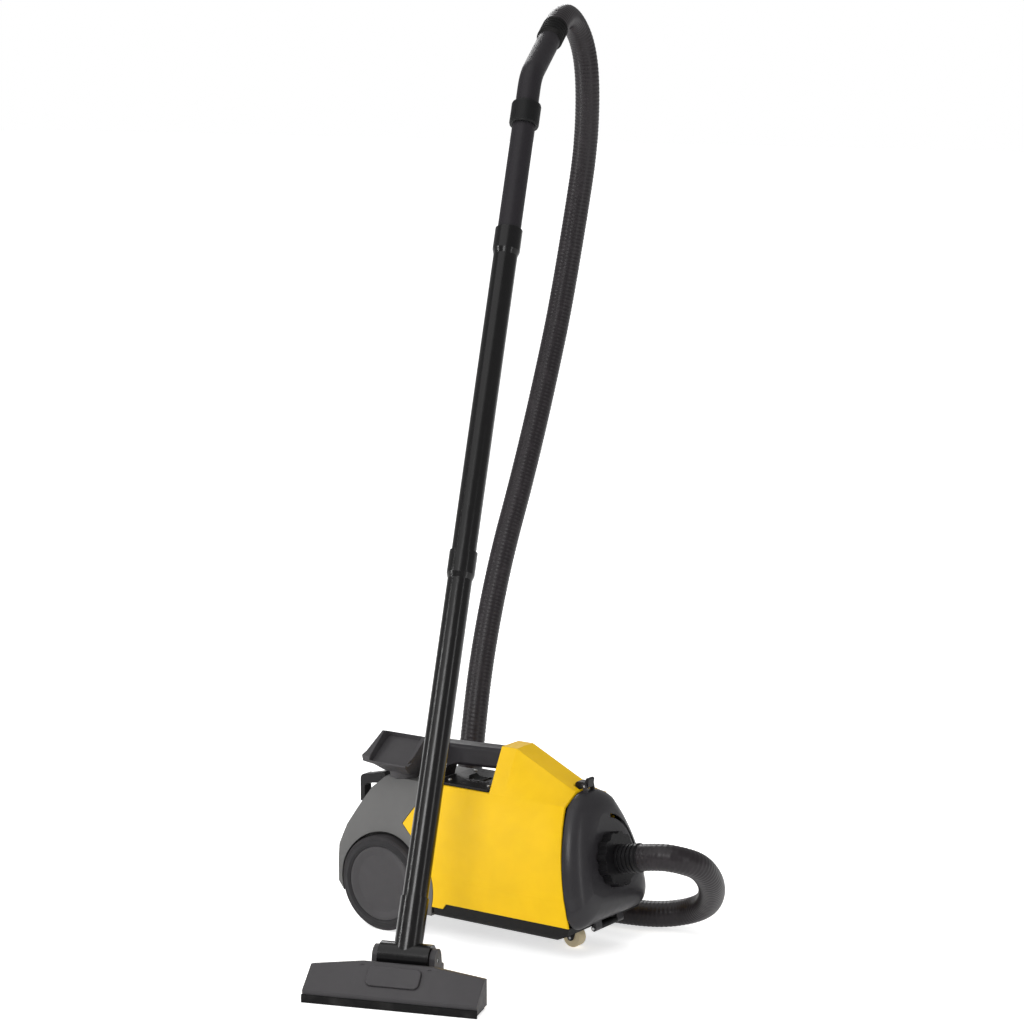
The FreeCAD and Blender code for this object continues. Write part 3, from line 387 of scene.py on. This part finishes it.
def resampled(points, step):
    """The same line with its points one step apart."""
    lengths = [0.0]
    for before, after in zip(points, points[1:]):
        lengths.append(lengths[-1] + (after - before).length)
    count = round(lengths[-1] / step)
    result = []
    index = 0
    for number in range(count + 1):
        target = lengths[-1] * number / count
        while index < len(points) - 2 and lengths[index + 1] < target:
            index += 1
        span = lengths[index + 1] - lengths[index]
        result.append(points[index].lerp(points[index + 1], (target - lengths[index]) / span))
    return result


def rings_along(bm, path, radius_at, sides):
    """Rings of vertices round a line, carried along it without twisting.

    radius_at gives the radius at a point's number and an angle round it.
    """
    rings = []
    heading = (path[1] - path[0]).normalized()
    across = heading.orthogonal().normalized()
    for index, centre in enumerate(path):
        ahead = path[min(index + 1, len(path) - 1)] - path[max(index - 1, 0)]
        turn = heading.rotation_difference(ahead.normalized())
        across = (turn @ across).normalized()
        heading = ahead.normalized()
        other = heading.cross(across)
        ring = []
        for side in range(sides):
            angle = 2 * math.pi * side / sides
            offset = math.cos(angle) * across + math.sin(angle) * other
            ring.append(bm.verts.new(centre + radius_at(index, angle) * offset))
        rings.append(ring)
    return rings


def hose_radius(index, angle):
    """A wire helix stands up under the vinyl once every pitch."""
    phase = index * RIB_STEP / RIB_PITCH * 2 * math.pi + angle
    return HOSE_DIAMETER / 2 - RIB_HEIGHT + RIB_HEIGHT * max(0.0, math.sin(phase)) ** 0.7


def make_hose(name):
    """One length of the ribbed hose, laid along its route from start to end."""
    route = HOSE_ROUTES[name]
    path = resampled(spline_points(name, route), RIB_STEP)
    bm = bmesh.new()
    join_rings(bm, rings_along(bm, path, hose_radius, HOSE_SIDES))
    piece = from_bmesh(name + "_vinyl", bm)
    finish_piece(piece, "hose_vinyl", name)
    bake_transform(piece)


def make_hoses():
    make_hose("hose_lower")
    make_hose("hose_upper")


# ---------------------------------------------------------------- bristles, bag and screws

def tool_matrix():
    """The floor tool's own frame: x along its length, y towards its back, on the floor."""
    joint = JOINTS["tool_pitch"]
    along = -Vector(joint["axis"])
    turn = Matrix((along, UP.cross(along), UP)).transposed().to_4x4()
    pivot = Vector(joint["pos_m"])
    return Matrix.Translation((pivot.x, pivot.y, 0)) @ turn


TOOL = tool_matrix()


def prong(bm, foot, tip, width, lean):
    """One thin three-sided bristle."""
    heading = (tip - foot).normalized()
    across = heading.orthogonal().normalized() * width
    other = heading.cross(across)
    turns = (0, 2.09, 4.19)
    base = [bm.verts.new(foot + across * math.cos(turn) + other * math.sin(turn)) for turn in turns]
    end = bm.verts.new(tip + lean)
    for index in range(3):
        bm.faces.new((base[index], base[(index + 1) % 3], end))


def corners(places):
    """The lowest and highest corner of the box round some places."""
    low = Vector([min(place[axis] for place in places) for axis in range(3)])
    high = Vector([max(place[axis] for place in places) for axis in range(3)])
    return low, high


def add_block(bm, low, high, matrix):
    """A block with rounded edges between two corners, in the matrix's frame."""
    size = high - low
    place = Matrix.Translation((low + high) / 2) @ Matrix.Diagonal((*size, 1))
    made = bmesh.ops.create_cube(bm, size=1, matrix=matrix @ place)
    edges = list({edge for vert in made["verts"] for edge in vert.link_edges})
    bmesh.ops.bevel(bm, geom=edges, offset=min(size) * 0.2, segments=2, affect="EDGES")


def make_brush_strip():
    """Rows of bristles under a moulded back, standing in for the strip's block."""
    rng = random.Random(4)
    into_tool = TOOL.inverted()
    low, high = corners([into_tool @ vertex.co for vertex in NODES["brush_strip"].data.vertices])
    bm = bmesh.new()
    back = low.z + 0.6 * (high.z - low.z)
    add_block(bm, Vector((low.x, low.y, back)), high, TOOL)
    rows = 4
    spacing = 0.0011
    bristle_radius = 0.00025
    for row in range(rows):
        y = low.y + (row + 0.7) / (rows + 0.4) * (high.y - low.y)
        for number in range(int((high.x - low.x) / spacing)):
            x = low.x + (number + rng.random()) * spacing
            foot = Vector((x, y, back + 0.0005))
            tip = Vector((x, y, low.z + 0.0002 * rng.random()))
            lean = Vector((rng.uniform(-0.0007, 0.0007), rng.uniform(-0.0005, 0.0005), 0))
            prong(bm, TOOL @ foot, TOOL @ tip, bristle_radius, lean)
    finish_piece(from_bmesh("brush_bristles", bm, False), "bristle", "brush_strip", "brush_strip")


def make_dust_bag():
    """A filled paper bag with gusseted sides, a bellied front and back, and a slight crumple."""
    low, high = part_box("dust_bag")
    centre = (low + high) / 2
    half = (high - low) / 2
    bm = bmesh.new()
    levels, around = 18, 40
    front_slope = 0.025
    inset = 0.97
    end_gap = 0.002
    rings = []
    for level in range(levels + 1):
        up = level / levels
        belly = math.sin(math.pi * min(max(up, 0.04), 0.96)) ** 0.35
        ring = []
        for step in range(around):
            angle = 2 * math.pi * step / around
            x, y = math.cos(angle), math.sin(angle)
            square = min(1 / max(abs(x), abs(y)), 1.22)
            gusset = 1 - 0.13 * math.exp(-((abs(y) - 1) / 0.25) ** 2) * math.exp(-(x / 0.16) ** 2)
            front = half.x if x < 0 else half.x - front_slope * up
            wrinkle = 1 + 0.008 * math.sin(9 * up + 3 * angle) + 0.006 * math.sin(23 * up - 5 * angle)
            px = centre.x + x * square * front * belly * inset / wrinkle
            py = centre.y + y * square * half.y * belly * inset * gusset / wrinkle
            pz = low.z + end_gap + up * (high.z - low.z - 2 * end_gap)
            ring.append(bm.verts.new((px, py, pz)))
        rings.append(ring)
    join_rings(bm, rings)
    piece = from_bmesh("paper_dust_bag", bm)
    modifier = piece.modifiers.new("Soften", "SUBSURF")
    modifier.levels = modifier.render_levels = 1
    finish_piece(piece, "bag_paper", "dust_bag", "canister")


def cross_head(bm, matrix, radius, height):
    """A domed screw head with a cross recess, its top at height along the matrix's z."""
    dome = [(1.0, 0.0), (1.0, 0.35), (0.93, 0.7), (0.74, 0.92), (0.6, 1.0)]
    recess_floor = 0.35
    sides = 24
    angles = [2 * math.pi * side / sides for side in range(sides)]
    loops = []
    for share, rise in dome:
        ring = [(share * radius * math.cos(angle), share * radius * math.sin(angle)) for angle in angles]
        loops.append([bm.verts.new(matrix @ Vector((x, y, rise * height))) for x, y in ring])
    cross = []
    for angle in angles:
        arm = 0.5 if min(abs(math.cos(angle)), abs(math.sin(angle))) < 0.27 else 0.17
        cross.append((arm * radius * math.cos(angle), arm * radius * math.sin(angle)))
    for rise in (1.0, recess_floor):
        loops.append([bm.verts.new(matrix @ Vector((x, y, rise * height))) for x, y in cross])
    join_rings(bm, loops)


def islands(node):
    """The separate solids of a CAD node, as (lowest corner, highest corner)."""
    bm = bmesh.new()
    bm.from_mesh(NODES[node].data)
    bmesh.ops.remove_doubles(bm, verts=bm.verts, dist=1e-6)
    left = set(bm.verts)
    found = []
    for seed in bm.verts:
        if seed not in left:
            continue
        left.discard(seed)
        stack = [seed]
        members = []
        while stack:
            vert = stack.pop()
            members.append(vert.co.copy())
            for edge in vert.link_edges:
                other = edge.other_vert(vert)
                if other in left:
                    left.discard(other)
                    stack.append(other)
        found.append(corners(members))
    bm.free()
    return found


SCREWS = [
    # name, CAD node, body, height of the head, whether the head is on top
    ("deck_screw_heads", "deck_screws", "canister", 0.002, True),
    ("tool_screw_heads", "tool_screws", "tool_head", 0.0014, False),
]


def make_screws():
    for name, node, body, head, upwards in SCREWS:
        bm = bmesh.new()
        for low, high in islands(node):
            centre = (low + high) / 2
            radius = (high.x - low.x) / 2
            if upwards:
                place = Matrix.Translation((centre.x, centre.y, high.z - head))
            else:
                flip = Matrix.Rotation(math.pi, 4, "X")
                place = Matrix.Translation((centre.x, centre.y, low.z + head)) @ flip
            cross_head(bm, place, radius, head)
            shank = Matrix.Translation((centre.x, centre.y, (low.z + high.z) / 2))
            bmesh.ops.create_cone(bm, cap_ends=True, segments=16, radius1=radius / 2, radius2=radius / 2,
                                  depth=(high.z - low.z) * 0.8, matrix=shank)
        finish_piece(from_bmesh(name, bm, False), "zinc_screw", node, body)


# ---------------------------------------------------------------- stage, light and camera

def make_stage():
    bm = bmesh.new()
    bmesh.ops.create_grid(bm, x_segments=1, y_segments=1, size=30)
    floor = from_bmesh("floor", bm)
    floor.location.z = -0.0005
    shader = Shader("pale_floor")
    shader.feed(shader.surface.inputs["Base Color"],
                shader.mix(shader.noise(0.5), (0.9, 0.9, 0.9, 1), (0.93, 0.93, 0.925, 1)))
    shader.surface.inputs["Roughness"].default_value = 0.8
    shader.surface.inputs["Specular IOR Level"].default_value = 0.1
    shader.surface.inputs["Emission Color"].default_value = (1, 1, 1, 1)
    seen = shader.node("ShaderNodeLightPath").outputs["Is Camera Ray"]
    shader.feed(shader.surface.inputs["Emission Strength"], shader.remap(seen, 0, 1, 0.3, 0.65))
    floor.data.materials.append(shader.material)


def area_light(name, place, aim, size, power):
    light = bpy.data.lights.new(name, "AREA")
    light.shape = "RECTANGLE"
    light.size, light.size_y = size
    light.energy = power
    lamp = bpy.data.objects.new(name, light)
    lamp.location = place
    lamp.rotation_euler = (Vector(aim) - Vector(place)).to_track_quat("-Z", "Y").to_euler()
    bpy.context.scene.collection.objects.link(lamp)


def make_lights():
    world = bpy.data.worlds.new("studio")
    world.use_nodes = True
    tree = world.node_tree
    backdrop = tree.nodes["Background"]
    backdrop.inputs["Color"].default_value = (1, 1, 1, 1)
    seen = tree.nodes.new("ShaderNodeLightPath").outputs["Is Camera Ray"]
    strength = tree.nodes.new("ShaderNodeMapRange")
    strength.inputs["To Min"].default_value = 0.34
    strength.inputs["To Max"].default_value = 1.0
    tree.links.new(seen, strength.inputs["Value"])
    tree.links.new(strength.outputs["Result"], backdrop.inputs["Strength"])
    bpy.context.scene.world = world
    middle = (0, 0, 0.5)
    area_light("key", (0.9, -3.4, 2.6), middle, (1.2, 1.2), 46)
    area_light("left strip", (-1.9, -1.9, 0.9), middle, (0.16, 1.9), 20)
    area_light("right strip", (2.7, -0.3, 1.0), middle, (0.3, 1.8), 8)
    area_light("back", (-2.2, 2.6, 2.4), middle, (1.2, 1.2), 30)
    light = bpy.data.lights.new("overhead", "SUN")
    light.energy = 1.0
    light.angle = math.radians(70)
    lamp = bpy.data.objects.new("overhead", light)
    lamp.rotation_euler = (math.radians(20), math.radians(-10), 0)
    bpy.context.scene.collection.objects.link(lamp)


CAMERA_PLACE = Vector((2.4115, -3.4283, 1.2911))
CAMERA_TURN = math.radians(35)
CAMERA_PITCH = math.radians(9)
CAMERA_LENS = 103.39


def make_camera():
    """Looks at the cleaner from its front right, a little downwards."""
    camera = bpy.data.cameras.new("camera")
    camera.sensor_width = 36
    camera.lens = CAMERA_LENS
    eye = bpy.data.objects.new("camera", camera)
    eye.location = CAMERA_PLACE + DATUM
    level = math.cos(CAMERA_PITCH)
    heading = Vector((-math.sin(CAMERA_TURN) * level, math.cos(CAMERA_TURN) * level,
                      -math.sin(CAMERA_PITCH)))
    eye.rotation_euler = heading.to_track_quat("-Z", "Y").to_euler()
    bpy.context.scene.collection.objects.link(eye)
    bpy.context.scene.camera = eye
    bpy.context.scene.view_settings.view_transform = "Standard"


make_camera()
make_stage()
make_lights()
dress_cad()
make_hoses()
make_brush_strip()
make_dust_bag()
make_screws()
